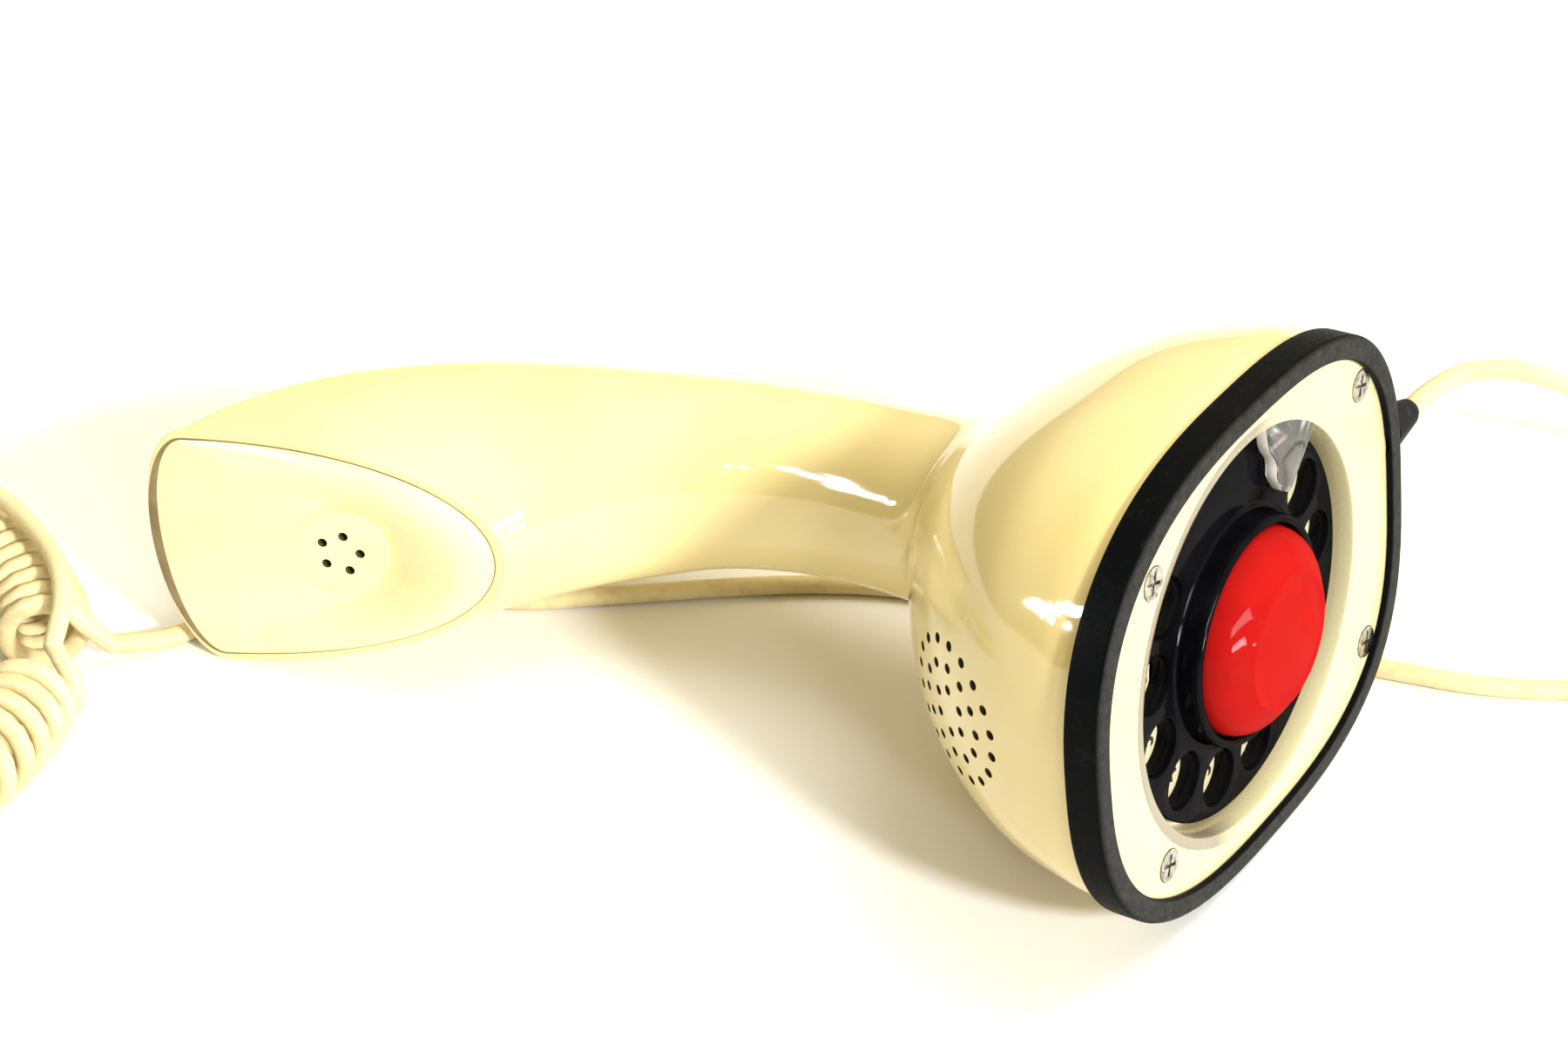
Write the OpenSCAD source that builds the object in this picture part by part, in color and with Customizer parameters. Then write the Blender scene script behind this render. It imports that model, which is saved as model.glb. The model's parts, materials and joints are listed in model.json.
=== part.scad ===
// One-piece upright telephone with its dial in the base, lying on its side
// with its cord. The phone itself is drawn upright: x runs across it, y from
// its front (-) to its rear (+), and z from the base ring's face to the head.
// lay() then turns it onto its side, on a floor at z = 0.

/* [Base] */
// Width across the rubber ring
ring_w = 97.8; // [96:0.1:100]
// Reach of the ring in front of the dial's axis
front_reach = 58.1; // [57:0.1:59]
// Reach of the ring behind the dial's axis
rear_reach = 57.3; // [56:0.1:58]
// Height of the ring's side band
ring_h = 7.1; // [6.5:0.1:7.5]
// Width of the ring's face under the base
ring_face = 3.8; // [3.4:0.1:4.2]
// Depth of the base plate's face behind the ring's face
plate_z = 1.5; // [1:0.1:2]
// Thickness of the base plate
plate_t = 2; // [1.6:0.1:2.4]

/* [Shell] */
// Wall of the moulded shell
wall = 3; // [2.4:0.1:3.4]
// Radius of one hole of the microphone grille
mic_hole_r = 1; // [0.6:0.1:1.2]
// Radius of one sound hole of the ear cap
ear_hole_r = 1; // [0.6:0.05:1.2]
// Height of the raised lip round the ear cap's lower end
lip_h = 3.4; // [2:0.1:4]

/* [Dial] */
// Radius of the finger wheel
wheel_r = 38; // [37:0.1:38.4]
// Depth of the finger wheel's face
wheel_z = 5.1; // [4.5:0.1:5.5]
// Thickness of the finger wheel
wheel_t = 3.8; // [3:0.1:3.8]
// Radius of a finger hole
finger_r = 5.75; // [5.5:0.05:6]
// Radius of the circle of finger holes
finger_pitch_r = 30.3; // [30:0.1:31]
// Angle from one finger hole to the next
finger_step = 30; // [28:1:31]
// Teeth of the main gear
gear_teeth = 60; // [60]
// Teeth of the pulse pinion
pinion_teeth = 10; // [10]
// Module of the gear and the pinion
gear_m = 1.1; // [1:0.05:1.1]

/* [Button] */
// Radius of the hook button
button_r = 20.1; // [19:0.1:20.2]
// Radius of the button's flat face
button_face_r = 13.9; // [12:0.1:15]
// Height of the button's face above the ring's face
button_out = 6.1; // [5:0.1:6.5]
// Radius of the plunger
plunger_r = 3; // [2.5:0.1:3]

/* [Cord] */
// Diameter of the cord
cord_d = 4; // [3.6:0.1:4.2]
// Outer diameter of the curly part
curl_d = 20; // [18:0.5:20]
// Radius of the ring that the curly part lies in
curl_ring_r = 49; // [45:1:52]

/* [Hidden] */
$fn = 64;
gap = 0.05;
eps = 0.1;
ivory = [0.88, 0.82, 0.62];
cream = [0.96, 0.93, 0.8];
brass = [0.78, 0.62, 0.3];
steel = [0.7, 0.71, 0.72];
jet = [0.05, 0.05, 0.06];
board_green = [0.2, 0.35, 0.22];

// How the phone lies: it leans on the ring and on the rim of the head
lean = 7.08;
roll = 2;
shift = [102.4, 7, 49.775];
module lay() {
    translate(shift) rotate([0, -(90 + lean), 0]) rotate([0, 0, roll]) children();
}

// ---- outline of the base, and solids skinned over rings of points ----
around = 48;
front_square = 2.5;
rear_square = 2.9;
function spow(v, e) = sign(v) * pow(abs(v), e);
function oval(t, half_w, rear, front, n_rear, n_front) =
    let (n = sin(t) > 0 ? n_rear : n_front, reach = sin(t) > 0 ? rear : front)
    [half_w * spow(cos(t), 2 / n), reach * spow(sin(t), 2 / n)];
function outline(inset) = [for (k = [0 : around - 1])
    oval(360 * k / around, ring_w / 2 - inset, rear_reach - inset, front_reach - inset,
        rear_square, front_square)];
function raised(loop, z) = [for (p = loop) [p[0], p[1], z]];
function walls(rows, count, closed) = [
    for (j = [0 : rows - (closed ? 1 : 2)])
    for (k = [0 : count - 1])
    let (a = j * count + k, b = j * count + (k + 1) % count,
        d = ((j + 1) % rows) * count + k, c = ((j + 1) % rows) * count + (k + 1) % count)
    each [[a, d, c], [a, c, b]]];
// A closed band over rings that run up the outside and down the inside
module band(rings) {
    polyhedron([for (r = rings) each r], walls(len(rings), len(rings[0]), true), convexity = 10);
}
// A solid over rings from its first to its last, both flat
module skin(rings) {
    count = len(rings[0]);
    last = (len(rings) - 1) * count;
    ends = [[for (k = [0 : count - 1]) k], [for (k = [count - 1 : -1 : 0]) last + k]];
    polyhedron([for (r = rings) each r], concat(ends, walls(len(rings), count, false)),
        convexity = 10);
}

// ---- the shell: sections from the ring up the neck and over to the ear rim ----
// Each is [rear y, rear z, front y, front z, half width, where its widest line
// lies from rear to front, squareness at the rear, squareness at the front]
sections = [
    [57.0, 7.1, -56.4, 7.1, 48.3, 0.497, 2.85, 2.5],
    [57.4, 16, -55.2, 16, 48.0, 0.497, 2.75, 2.5],
    [54.2, 30, -51, 30, 45.2, 0.5, 2.6, 2.5],
    [48.5, 43, -43.5, 43.5, 39.0, 0.5, 2.5, 2.45],
    [41, 54, -33.5, 54.5, 31.5, 0.5, 2.4, 2.4],
    [34, 63, -21.5, 63.5, 24.0, 0.5, 2.3, 2.35],
    [29.5, 72, -11.3, 70, 19.2, 0.5, 2.2, 2.2],
    [27.5, 84, -8.7, 81, 18.0, 0.5, 2.2, 2.2],
    [25, 103, -9.5, 100, 18.2, 0.5, 2.2, 2.2],
    [21.3, 122, -14.5, 117, 19, 0.5, 2.2, 2.2],
    [16, 140, -23, 129, 20.4, 0.5, 2.2, 2.2],
    [7, 160, -31, 137, 22.4, 0.45, 2.15, 2.15],
    [-8, 181, -37, 141.5, 24.6, 0.36, 2.1, 2.1],
    [-30, 200, -41, 143.5, 26.3, 0.26, 2.1, 2.1],
    [-52, 210, -43, 144.5, 27.2, 0.19, 2.05, 2.05],
    [-71.4, 213.3, -43.8, 144.8, 27.3, 0.15, 2.05, 2.05]];
section_steps = 3;
rim_t = 1.6;
rim_depth = 0.35;
skirt_z = 3;
skirt_out = 1.35;
skirt_in = 3.9;
function spline(a, b, c, d, t) = 0.5 * (2 * b + (c - a) * t
    + (2 * a - 5 * b + 4 * c - d) * t * t + (3 * b - a - 3 * c + d) * t * t * t);
function along(rows, u) =
    let (last = len(rows) - 1, i = min(floor(u), last - 1), p = rows[i], q = rows[i + 1],
        a = i > 0 ? rows[i - 1] : 2 * p - q, d = i < last - 1 ? rows[i + 2] : 2 * q - p)
    spline(a, p, q, d, u - i);
function section_ring(s, inset) =
    let (rear = [0, s[0], s[1]], front = [0, s[2], s[3]], way = (front - rear) / norm(front - rear),
        mid = rear + (front - rear) * s[5], r_len = norm(mid - rear) - inset,
        f_len = norm(front - mid) - inset)
    [for (k = [0 : around - 1])
        let (p = oval(360 * k / around, s[4] - inset, r_len, f_len, s[6], s[7]))
        mid + [p[0], 0, 0] - way * p[1]];
top_u = len(sections) - 1;
outer_rings = [for (j = [0 : top_u * section_steps])
    section_ring(along(sections, j / section_steps), 0)];
// The wall thins to the rim over the last two sections
function wall_at(u) = rim_t + (wall - rim_t) * max(0, min(1, (top_u - 1 - u) / 2));
inner_rings = [for (j = [top_u * 2 - 1 : -1 : 0])
    section_ring(along(sections, j / 2), wall_at(j / 2))];
rim_rings = [section_ring(along(sections, top_u), rim_t),
    section_ring(along(sections, top_u - rim_depth), rim_t)];
shell_rings = concat(
    [raised(outline(skirt_out), skirt_z), raised(outline(skirt_out), ring_h)],
    outer_rings, rim_rings, inner_rings,
    [raised(outline(skirt_in), skirt_z + 1.2), raised(outline(skirt_in), skirt_z)]);

// Places that pieces of the head and the microphone are set out from
mic_centre = [0, -46, 37.7];
mic_tip = 60;
ear_centre = [0, -67.3, 203];
ear_tip = 112;
ear_drop = -28.9;
module at_mic() { translate(mic_centre) rotate([mic_tip, 0, 0]) children(); }
module at_ear() { translate(ear_centre) rotate([ear_tip, 0, 0]) children(); }
inlet = [11, 0, 3.3];
inlet_r = 2.95;
module inlet_hole(r) {
    translate([inlet[0], rear_reach - 12, inlet[2]]) rotate([-90, 0, 0]) cylinder(r = r, h = 30);
}
mic_rows = [[4.6, 6], [9.2, 12], [13.8, 18]];
module shell() {
    color(ivory) lay() difference() {
        band(shell_rings);
        at_mic() for (row = mic_rows) for (k = [0 : row[1] - 1])
            rotate(360 * k / row[1]) translate([row[0], 0, -9])
                cylinder(r = mic_hole_r, h = 16, $fn = 8);
        inlet_hole(inlet_r);
    }
}

// ---- ear cap and receiver ----
cap_gap = 0.15;
cap_w = 27.3 - rim_t - cap_gap;
cap_top = 11.1 - rim_t - cap_gap;
cap_low = 62.8 - rim_t - cap_gap;
cap_t = 2.6;
disc_r = 9.8;
function cap_ring(s, lip) = [for (k = [0 : around - 1])
    let (t = 360 * k / around, p = oval(t, cap_w, cap_top, cap_low, 2.05, 2.05),
        q = [disc_r * cos(t), ear_drop + disc_r * sin(t)],
        low = pow((1 - sin(t)) / 2, 1.2))
    [p[0] + (q[0] - p[0]) * s, p[1] + (q[1] - p[1]) * s,
        lip * low * sin(180 * pow(s, 0.6))]];
cap_steps = [0, 0.03, 0.1, 0.2, 0.32, 0.46, 0.62, 0.8, 1];
ear_hole_ring = 4.17;
cap_lean = 0.64;
// The back of the cap follows the shell's top as it slopes inward
function cap_back() = [for (k = [0 : around - 1])
    let (p = oval(360 * k / around, cap_w - 0.9, cap_top - cap_lean * cap_t, cap_low, 2.05, 2.05))
    [p[0], p[1], -cap_t]];
module ear_cap() {
    color(cream) lay() at_ear() difference() {
        skin(concat([cap_back()],
            [for (s = cap_steps) cap_ring(s, lip_h)]));
        for (k = [0 : 4]) translate([0, ear_drop, -5]) rotate(72 * k + 55)
            translate([ear_hole_ring, 0, 0]) cylinder(r = ear_hole_r, h = 10, $fn = 16);
    }
}
capsule_r = 20;
capsule_drop = -26;
capsule_z = -18;
gasket_z = -4.2;
module receiver_gasket() {
    color(jet) lay() at_ear() translate([0, capsule_drop, gasket_z]) difference() {
        cylinder(r = 18, h = -gasket_z - cap_t);
        translate([0, 0, -1]) cylinder(r = 15, h = 9);
    }
}
module receiver_capsule() {
    color(steel) lay() at_ear() translate([0, capsule_drop, capsule_z]) union() {
        cylinder(r = capsule_r, h = gasket_z - capsule_z);
        translate([0, 0, -2.5]) cylinder(r = 12, h = 3);
    }
}
module receiver_holder() {
    color(jet) lay() at_ear() translate([0, capsule_drop, 0]) difference() {
        translate([0, 0, -15]) cylinder(r = capsule_r + 1.5, h = 15 - cap_t);
        translate([0, 0, -16]) cylinder(r = capsule_r + gap, h = 20);
    }
}

// ---- microphone, behind its grille ----
mic_r = 17;
mic_front = -5.9;
mic_depth = 9.5;
module microphone_capsule() {
    color(steel) lay() at_mic() translate([0, 0, mic_front - mic_depth]) union() {
        cylinder(r = mic_r, h = mic_depth);
        translate([0, 0, -1.6]) cylinder(r = 8, h = 2);
    }
}
module microphone_holder() {
    color(jet) lay() at_mic() difference() {
        translate([0, 0, mic_front - mic_depth - 1]) cylinder(r = mic_r + 1.5, h = mic_depth + 2.4);
        translate([0, 0, mic_front - mic_depth]) cylinder(r = mic_r + gap, h = 20);
        translate([0, 0, -30]) cylinder(r = 14, h = 30);
    }
}

// ---- rubber ring, base plate and its screws ----
ring_profile = [[0.8, 0], [0.2, 0.3], [0, 0.9], [0, 6.6], [0.35, 7.1], [1.35, 7.1],
    [1.35, 3], [3.8, 3], [3.8, 0.35], [3.45, 0]];
function ring_point(p) = [p[0] > 3 ? p[0] + ring_face - 3.8 : p[0],
    p[1] > 6 ? p[1] + ring_h - 7.1 : p[1]];
module base_ring() {
    color(jet) lay() difference() {
        band([for (p = ring_profile) let (q = ring_point(p)) raised(outline(q[0]), q[1])]);
        inlet_hole(inlet_r);
    }
}
front_screw = [30.9, -34.1];
rear_screw = [29.2, 43.2];
screw_spots = [for (p = [front_screw, rear_screw]) for (side = [-1, 1]) [side * p[0], p[1]]];
screw_r = 1.6;
head_r = 3.2;
well_r = 39.6;
well_z = 9.3;
ear_spots = [45, 135, 270];
ear_r = 44.8;
dial_screw_r = 1.2;
plate_back = plate_z + plate_t;
stop_z = 1.7;
stop_t = 2.8;
// The clear stop is let into the well's edge
module stop_outline(room) {
    intersection() {
        polygon([[38.5, 8 - room], [33.5, 8.8 - room], [29.8, 11.5], [26.4, 11.2], [22.3, 13.6],
            [21.4, 15.4], [22.4, 17.2], [34, 29 + room], [41, 27 + room], [44, 8 - room]]);
        circle(r = 41.6 + room, $fn = 96);
    }
}
module base_plate() {
    color(cream) lay() difference() {
        union() {
            translate([0, 0, plate_z]) linear_extrude(plate_t) polygon(outline(3.95));
            for (a = ear_spots) rotate(a) translate([ear_r, 0, plate_back - eps])
                cylinder(r = 2.6, h = well_z + 0.8 - plate_back + eps);
            translate([0, 0, plate_back - eps]) cylinder(r = well_r + 1.8, h = well_z - plate_back + eps);
        }
        rotate_extrude($fn = 96) polygon([[0, plate_z - 1], [44, plate_z - 1], [42.2, plate_z],
            [41.2, plate_z + 0.25], [40.4, plate_z + 0.9], [39.9, plate_z + 1.9],
            [well_r, plate_z + 3.2], [well_r, well_z + 1], [0, well_z + 1]]);
        for (p = screw_spots) translate([p[0], p[1], 0]) {
            cylinder(r = screw_r + 0.2, h = 10);
            translate([0, 0, plate_z - 1]) cylinder(r = head_r + 0.15, h = 1.7);
        }
        for (a = ear_spots) rotate(a) translate([ear_r, 0, plate_back + 1])
            cylinder(r = dial_screw_r, h = 20);
        linear_extrude(stop_z + stop_t + gap) stop_outline(gap);
    }
}
module base_screws() {
    color(steel) lay() for (p = screw_spots) translate([p[0], p[1], plate_z - 0.2]) difference() {
        union() {
            cylinder(r = head_r, h = 0.9);
            cylinder(r = screw_r, h = 12);
        }
        for (turn = [20, 110]) rotate(turn) translate([-2.2, -0.35, -1]) cube([4.4, 0.7, 1.5]);
    }
}
post_top = [27, 27, 20, 20];
module screw_posts() {
    color(brass) lay() for (k = [0 : 3])
        translate([screw_spots[k][0], screw_spots[k][1], plate_back]) difference() {
            cylinder(r = 4, h = post_top[k] - plate_back);
            translate([0, 0, -1]) cylinder(r = screw_r + gap, h = 12);
        }
}

// ---- dial: number plate, finger wheel, stop, frame and train ----
sleeve_r = 24.3;
guide_r = 22.4;
guide_in = button_r + 0.5;
bead = 0.45;
frame_z = 10.1;
frame_t = 2;
gear_z = 13;
gear_t = 2.4;
back_z = 32;
back_t = 2;
pulse_y = gear_m * (gear_teeth + pinion_teeth) / 2;
pulse_r = 1.5;
pivot_gap = 0.04;
rear_of_wheel = wheel_z + wheel_t;
module ring(r_in, r_out, z, h) {
    translate([0, 0, z]) difference() {
        cylinder(r = r_out, h = h, $fn = 96);
        translate([0, 0, -1]) cylinder(r = r_in, h = h + 2, $fn = 96);
    }
}
module number_plate() { color(cream) lay() ring(sleeve_r + 0.6, well_r + 1.6, well_z, 0.8); }
module finger_wheel() {
    color(jet) lay() difference() {
        rotate_extrude($fn = 96) polygon([[guide_r + gap, wheel_z - bead * 0.6],
            [guide_r + 0.3, wheel_z - bead], [guide_r + 0.8, wheel_z - bead], [guide_r + 1.3, wheel_z],
            [wheel_r - 0.5, wheel_z], [wheel_r, wheel_z + 0.5], [wheel_r, rear_of_wheel],
            [sleeve_r, rear_of_wheel], [sleeve_r, gear_z + gear_t], [guide_r + gap, gear_z + gear_t]]);
        for (k = [0 : 9]) rotate(-105 - finger_step * k) translate([0, finger_pitch_r, 0])
            rotate_extrude() polygon([[0, wheel_z - 1], [finger_r + 1.4, wheel_z - 1],
                [finger_r, wheel_z + 0.4], [finger_r, rear_of_wheel + 1], [0, rear_of_wheel + 1]]);
    }
}
function tooth(k, teeth, m) = let (r = m * teeth / 2, step = 360 / teeth, a = k * step)
    [for (q = [[-0.36, -1.2], [-0.2, 0], [-0.09, 0.95], [0.09, 0.95], [0.2, 0], [0.36, -1.2]])
        let (rr = r + q[1] * m, aa = a + q[0] * step) [rr * cos(aa), rr * sin(aa)]];
module gear(teeth, m, h) {
    linear_extrude(h) polygon([for (k = [0 : teeth - 1]) each tooth(k, teeth, m)]);
}
module main_gear() {
    color(brass) lay() translate([0, 0, gear_z]) difference() {
        rotate(90 + 180 / gear_teeth) gear(gear_teeth, gear_m, gear_t);
        translate([0, 0, -1]) cylinder(r = sleeve_r, h = 10, $fn = 96);
    }
}
spring_in = 25.6;
spring_pitch = 1.4;
spring_turns = 3.5;
spring_t = 0.5;
module main_spring() {
    spiral = [for (a = [0 : 15 : 360 * spring_turns])
        let (r = spring_in + spring_pitch * a / 360) [r * cos(a), r * sin(a), r]];
    inner = [for (p = spiral) [p[0], p[1]]];
    outer = [for (k = [len(spiral) - 1 : -1 : 0])
        let (p = spiral[k]) [p[0], p[1]] * (p[2] + spring_t) / p[2]];
    color(steel) lay() translate([0, 0, gear_z + gear_t + 0.4]) linear_extrude(2)
        polygon(concat(inner, outer));
}
module finger_stop() {
    color([0.85, 0.87, 0.88]) lay() translate([0, 0, stop_z]) linear_extrude(stop_t) stop_outline(0);
}
pillar_spots = [[37.4, -4], [-37.4, -4], [-27, 27]];
module pivot_hole(r) { translate([0, pulse_y, 0]) cylinder(r = r, h = 60, $fn = 32); }
module dial_frame() {
    color(steel) lay() difference() {
        union() {
            ring(sleeve_r + 0.8, well_r + 2.2, frame_z, frame_t);
            for (a = ear_spots) rotate(a) translate([ear_r, 0, frame_z]) cylinder(r = 3.4, h = frame_t);
            for (a = ear_spots) rotate(a) translate([ear_r - 4, -3.4, frame_z]) cube([4, 6.8, frame_t]);
        }
        pivot_hole(pulse_r + pivot_gap);
        for (a = ear_spots) rotate(a) translate([ear_r, 0, 0]) cylinder(r = dial_screw_r + 0.15, h = 40);
    }
}
module dial_screws() {
    color(brass) lay() for (a = ear_spots) rotate(a) translate([ear_r, 0, plate_back + 2]) union() {
        cylinder(r = dial_screw_r, h = frame_z + frame_t - plate_back - 1.9);
        translate([0, 0, frame_z + frame_t - plate_back - 2]) cylinder(r = 2.4, h = 1.4);
    }
}
module dial_pillars() {
    color(brass) lay() for (p = pillar_spots) translate([p[0], p[1], frame_z + frame_t])
        cylinder(r = 2.4, h = back_z - frame_z - frame_t);
}
module dial_back_plate() {
    color(steel) lay() difference() {
        translate([0, 0, back_z]) linear_extrude(back_t) intersection() {
            circle(r = 41, $fn = 96);
            translate([-39, -14]) square([78, 60]);
        }
        pivot_hole(pulse_r + pivot_gap);
        translate([0, 0, 20]) cylinder(r = 9, h = 30);
    }
}
module button_guide() {
    color(jet) lay() difference() {
        rotate_extrude($fn = 96) polygon([[plunger_r + pivot_gap, 17], [guide_in, 17], [guide_in, 1.6],
            [guide_in + 0.5, 1.1], [guide_in + 1.6, 1.1], [guide_r, 1.6], [guide_r, back_z],
            [guide_in, back_z], [guide_in, 19], [plunger_r + pivot_gap, 19]]);
    }
}
module hook_button() {
    top = -button_out;
    color([0.86, 0.08, 0.08]) lay() rotate_extrude($fn = 96) polygon([[0, top],
        [button_face_r - 0.8, top], [button_face_r, top + 0.4], [17.2, top + 2.3], [19, top + 4.4],
        [19.9, top + 6.4], [button_r, top + 8], [button_r, 8.5], [18, 8.5], [18, top + 6],
        [12, top + 2.5], [plunger_r, top + 2.5], [plunger_r, top + 2.2], [0, top + 2.2]]);
}
module plunger_rod() {
    color(steel) lay() translate([0, 0, 2.2 - button_out]) union() {
        cylinder(r = plunger_r, h = 25 - 2.2 + button_out);
        translate([0, 0, 0.3]) cylinder(r = 4.4, h = 1.6);
    }
}
coil_r = 5.6;
coil_turns = 6;
coil_wire = 0.45;
module plunger_spring() {
    low = 0.1 - button_out + 4.6;
    high = 17 - 0.6;
    sides = 6;
    steps = coil_turns * 14;
    color(steel) lay() skin([for (j = [0 : steps])
        let (a = 360 * coil_turns * j / steps, z = low + (high - low) * j / steps)
        [for (k = [0 : sides - 1]) let (b = 360 * k / sides, r = coil_r + coil_wire * cos(b))
            [r * cos(a), r * sin(a), z - coil_wire * sin(b)]]]);
}
module hook_contacts() {
    color([0.6, 0.42, 0.25]) lay() union() {
        translate([10, -4, 25]) cube([6, 8, back_z - 25]);
        for (x = [4.4, 6.4, 8.4]) translate([x, -1.5, 20.2]) cube([0.4, 3, back_z - 20.2 - 1]);
        translate([4.4, -3, 29.4]) cube([8, 6, 1.4]);
    }
}

// ---- pulse train and governor ----
worm_z = 24;
wheel_out = 8.8;
worm_r = 2.4;
worm_y = pulse_y - wheel_out - worm_r - 0.3;
governor_r = 1;
module pulse_shaft() {
    color(brass) lay() translate([0, pulse_y, 0]) union() {
        translate([0, 0, frame_z + 0.2]) cylinder(r = pulse_r, h = back_z + back_t - frame_z - 0.4);
        translate([0, 0, gear_z - 0.2]) rotate(-90) gear(pinion_teeth, gear_m, gear_t + 0.4);
    }
}
module pulse_cam() {
    color([0.35, 0.2, 0.12]) lay() translate([0, pulse_y, 18.2]) difference() {
        linear_extrude(2) intersection_for (side = [-1, 1]) translate([side * 2.5, 0]) circle(r = 7);
        translate([0, 0, -1]) cylinder(r = pulse_r, h = 9);
    }
}
module worm_wheel() {
    color(brass) lay() translate([0, pulse_y, worm_z - 1]) difference() {
        gear(24, wheel_out * 2 / 26, 2);
        translate([0, 0, -1]) cylinder(r = pulse_r, h = 9);
    }
}
module on_governor() { translate([0, worm_y, worm_z]) rotate([0, 90, 0]) children(); }
module governor_worm() {
    color(steel) lay() on_governor() union() {
        translate([0, 0, -11]) cylinder(r = governor_r, h = 29);
        rotate_extrude() polygon(concat([[0, -4.5]],
            [for (k = [0 : 8]) each [[1.7, -4.5 + k], [worm_r, -4.2 + k], [worm_r, -3.9 + k]]],
            [[1.7, 4.6], [0, 4.6]]));
    }
}
module governor_arms() {
    color(brass) lay() on_governor() difference() {
        for (turn = [0, 90]) rotate(turn) translate([-4.2, -0.9, 10]) cube([8.4, 1.8, 2.4]);
        translate([0, 0, 9]) cylinder(r = governor_r, h = 5);
    }
}
module governor_cup() {
    color(steel) lay() on_governor() difference() {
        translate([0, 0, 9]) cylinder(r = 5.4, h = 6.5);
        translate([0, 0, 8]) cylinder(r = 4.7, h = 6.5);
        cylinder(r = governor_r + pivot_gap, h = 30);
    }
}
module governor_bracket() {
    color(steel) lay() difference() {
        for (x = [-9.5, 15.5]) translate([x, worm_y - 3, worm_z - 3]) cube([1.4, 6, back_z - worm_z + 3]);
        on_governor() translate([0, 0, -20]) cylinder(r = governor_r + pivot_gap, h = 50);
    }
}
module pulse_contacts() {
    color([0.6, 0.42, 0.25]) lay() union() {
        translate([-16, pulse_y - 2, 16.5]) cube([6, 4, back_z - 16.5]);
        for (y = [-1.4, 0.8]) translate([-15, pulse_y + y, 17.4]) cube([7, 0.4, 3.2]);
    }
}

// ---- circuit behind the dial ----
board = [-22, -8, 37];
module circuit_board() { color(board_green) lay() translate(board) cube([44, 38, 1.6]); }
module board_posts() {
    color(brass) lay() for (x = [-18, 18]) for (y = [-4, 26]) translate([x, y, back_z + back_t])
        cylinder(r = 2, h = board[2] - back_z - back_t);
}
module transformer() {
    color([0.35, 0.35, 0.38]) lay() translate([-16, 2, board[2] + 1.6]) union() {
        cube([16, 18, 3]);
        translate([3, 0, 0]) cube([10, 18, 13]);
        translate([0, 3, 3]) cube([16, 12, 7]);
    }
}
module capacitor() {
    color([0.75, 0.55, 0.2]) lay() translate([9, 0, board[2] + 1.6 + 5]) rotate([-90, 0, 0])
        cylinder(r = 5, h = 22);
}

// ---- cord: its boot, the part on the floor, the curly part and the plug ----
boot_end = 66;
module cord_grommet() {
    color(jet) lay() difference() {
        union() {
            translate([inlet[0], rear_reach - 3.6, inlet[2]]) rotate([-90, 0, 0])
                cylinder(r = inlet_r - gap, h = 5);
            hull() {
                translate([inlet[0], rear_reach - 0.3, inlet[2]]) rotate([-90, 0, 0]) {
                    cylinder(r = 3.1, h = 1, $fn = 32);
                    translate([3, 0, 0]) cylinder(r = 2, h = 1, $fn = 32);
                    translate([-3, 0, 0]) cylinder(r = 2, h = 1, $fn = 32);
                }
                translate([inlet[0], boot_end - 1.4, inlet[2]]) rotate([-90, 0, 0])
                    cylinder(r1 = 2.9, r2 = 2.4, h = 1.4, $fn = 32);
            }
        }
        translate([inlet[0], boot_end - 3, inlet[2]]) rotate([-90, 0, 0])
            cylinder(r = cord_d / 2, h = 10);
    }
}
cord_r = cord_d / 2;
lead_route = [[98.1, 70.5, 58], [98.2, 77, 57.7], [98.6, 86, 56.4], [100, 98, 53], [103, 113, 45.5],
    [107, 128, 35], [112, 141, 24], [119, 152, 13], [129, 159, 5.4], [142, 160.5, 2.5],
    [155, 156, 2.05], [165, 146, 2.05], [170, 131, 2.05], [169, 115, 2.05], [163, 101, 2.05],
    [152, 88, 2.05], [138, 77, 2.05], [122, 68.5, 2.05], [105, 63, 2.05], [84, 57, 2.05],
    [61, 50, 2.05], [35, 40, 2.05], [8, 31, 2.05], [-14, 18, 2.05], [-42, -4.5, 2.05],
    [-55, -15, 2.05], [-63, -17.6, 2.05], [-71, -15, 2.05], [-80, -16, 2.05], [-90, -24.5, 2.05],
    [-98.5, -36, 2.05], [-104, -48.5, 2.05], [-106.6, -59, 2.1], [-110.5, -67, 2.6],
    [-115.5, -74.5, 4.4], [-121, -82, 8.5]];
tail_route = [[-113.7, -97, 10], [-114, -91, 16.5], [-118, -83, 21.5], [-128, -75, 22.6],
    [-142, -69, 22.6], [-156, -65, 21.5], [-169, -60, 15], [-182, -54, 7], [-195, -50, 3.4],
    [-206, -48, 3.3]];
function tube_ring(p, way, r, sides) =
    let (side = cross([0, 0, 1], way) / norm(cross([0, 0, 1], way)), up = cross(way, side))
    [for (k = [0 : sides - 1]) p + r * (cos(360 * k / sides) * side + sin(360 * k / sides) * up)];
module tube(route, steps, r) {
    count = (len(route) - 1) * steps;
    pts = [for (j = [0 : count]) along(route, j / steps)];
    skin([for (j = [0 : count]) let (way = pts[min(j + 1, count)] - pts[max(j - 1, 0)])
        tube_ring(pts[j], way / norm(way), r, 8)]);
}
module cord_lead() { color(ivory) tube(lead_route, 2, cord_r); }
module cord_tail() { color(ivory) tube(tail_route, 1, cord_r); }
curl_centre = [-157, -120, 0];
curl_from = 46;
curl_sweep = 342;
module cord_curl() {
    color(ivory) translate(curl_centre) rotate(curl_from) rotate_extrude(angle = curl_sweep)
        translate([curl_ring_r, curl_d / 2]) circle(r = curl_d / 2, $fn = 32);
}
plug_size = [12.5, 9.6, 6.6];
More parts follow.
